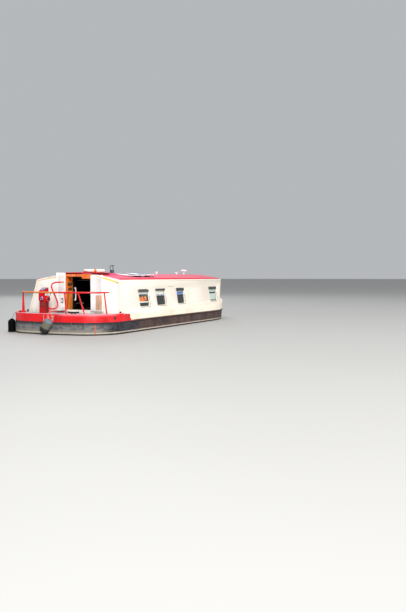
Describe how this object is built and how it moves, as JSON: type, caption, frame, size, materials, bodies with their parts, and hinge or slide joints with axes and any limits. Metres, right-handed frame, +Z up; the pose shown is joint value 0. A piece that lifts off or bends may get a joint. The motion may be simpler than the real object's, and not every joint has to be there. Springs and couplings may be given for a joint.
{
  "type": "wide-beam narrowboat",
  "caption": "Steel canal boat with a broad hull, long windowed cabin, cruiser stern with swan-neck tiller and guard rail, open companionway and short bow well.",
  "frame": {"origin": "on the underside of the base plate, on the centreline amidships", "axes": "+X forward to the bow, +Y to port, +Z up; the waterline is at z = 0.6 m"},
  "size_m": [12.9977, 4.112, 2.9293],
  "materials": {
    "hull_paint": "matt bitumen black below, gloss topsides",
    "strake": "worn matt",
    "deck_paint": "non-slip matt",
    "red_tube": "gloss",
    "red_paint": "gloss, weathered",
    "red_hatch": "gloss",
    "bare_steel": "blacked",
    "bronze": "dull",
    "rope_fender": "weathered rope",
    "rubber_fender": "matt",
    "cabin_cream": "satin",
    "cabin_white": "satin",
    "roof_red": "faded matt",
    "floor_wood": "worn",
    "varnished_wood": "gloss varnish",
    "instruments": "gloss",
    "engine": "enamel",
    "window": "clear glass in an aluminium frame",
    "lifebuoy": "white with orange bands",
    "flue": "satin",
    "solar_glass": "low reflection glass",
    "white_plastic": "satin"
  },
  "bodies": {
    "boat": {"hull": "hull_paint", "rubbing_strake_port": "strake", "rubbing_strake_starboard": "strake", "stern_deck": "deck_paint", "well_deck": "deck_paint", "stern_rail": "red_tube", "control_pedestal": "red_paint", "engine_control": "red_paint", "bow_deck": "red_paint", "hatch_runner_port": "red_hatch", "hatch_runner_starboard": "red_hatch", "mooring_dolly_port": "bare_steel", "mooring_cleat_starboard": "bare_steel", "bow_t_stud": "bare_steel", "stern_fender": "rope_fender", "bow_fender": "rope_fender", "quarter_fender": "rubber_fender", "cabin_side_port": "cabin_cream", "cabin_side_starboard": "cabin_cream", "front_bulkhead": "cabin_cream", "roof_handrail_port": "cabin_cream", "roof_handrail_starboard": "cabin_cream", "aft_bulkhead": "cabin_white", "grab_rail": "cabin_white", "cabin_roof": "roof_red", "cabin_floor": "floor_wood", "engine_casing": "floor_wood", "companionway_lining": "varnished_wood", "gauge_panel": "instruments", "engine_block": "engine", "window_port_1": "window", "window_port_2": "window", "window_port_3": "window", "window_port_4": "window", "window_starboard_1": "window", "window_starboard_2": "window", "window_starboard_3": "window", "window_starboard_4": "window", "chimney": "flue", "solar_panel_aft": "solar_glass", "solar_panel_forward": "solar_glass", "roof_vent_aft": "white_plastic", "roof_vent_forward": "white_plastic", "tv_aerial": "white_plastic"},
    "steering": {"rudder": "bare_steel", "tiller": "red_tube", "tiller_grip": "varnished_wood"},
    "screw": {"propeller": "bronze"},
    "hatch": {"hatch_lid": "red_hatch", "lifebuoy": "lifebuoy"},
    "door_rear_port": {"rear_door_port": "cabin_white"},
    "door_rear_starboard": {"rear_door_starboard": "cabin_white"},
    "door_front_port": {"front_door_port": "cabin_cream"},
    "door_front_starboard": {"front_door_starboard": "cabin_cream"},
    "lid_deck": {"deck_hatch_lid": "deck_paint"},
    "lid_locker": {"bow_locker_lid": "red_paint"}
  },
  "joints": [
    {"name": "tiller_turn", "type": "hinge", "parent": "boat", "child": "steering", "pos_m": [-6.25, 0, 1.44], "axis": [0, 0, 1], "range_deg": [-35, 35]},
    {"name": "propeller_spin", "type": "hinge", "parent": "boat", "child": "screw", "pos_m": [-5.69, 0, 0.3], "axis": [1, 0, 0], "continuous": true},
    {"name": "hatch_slide", "type": "slide", "parent": "boat", "child": "hatch", "axis": [1, 0, 0], "range_m": [0, 0.5]},
    {"name": "rear_door_port_swing", "type": "hinge", "parent": "boat", "child": "door_rear_port", "pos_m": [-5.0263, 0.289, 1.345], "axis": [0, 0, 1], "range_deg": [-85, 90]},
    {"name": "rear_door_starboard_swing", "type": "hinge", "parent": "boat", "child": "door_rear_starboard", "pos_m": [-5.0263, -0.799, 1.345], "axis": [0, 0, 1], "range_deg": [-165, 10]},
    {"name": "front_door_port_swing", "type": "hinge", "parent": "boat", "child": "door_front_port", "pos_m": [3.3213, 0.444, 0.93], "axis": [0, 0, 1], "range_deg": [0, 100]},
    {"name": "front_door_starboard_swing", "type": "hinge", "parent": "boat", "child": "door_front_starboard", "pos_m": [3.3213, -0.444, 0.93], "axis": [0, 0, 1], "range_deg": [-100, 0]},
    {"name": "deck_hatch_lift", "type": "hinge", "parent": "boat", "child": "lid_deck", "pos_m": [-5.57, -1.45, 1.2575], "axis": [1, 0, 0], "range_deg": [0, 85]},
    {"name": "bow_locker_lift", "type": "hinge", "parent": "boat", "child": "lid_locker", "pos_m": [5.29, 0, 1.5425], "axis": [0, 1, 0], "range_deg": [0, 100]}
  ]
}
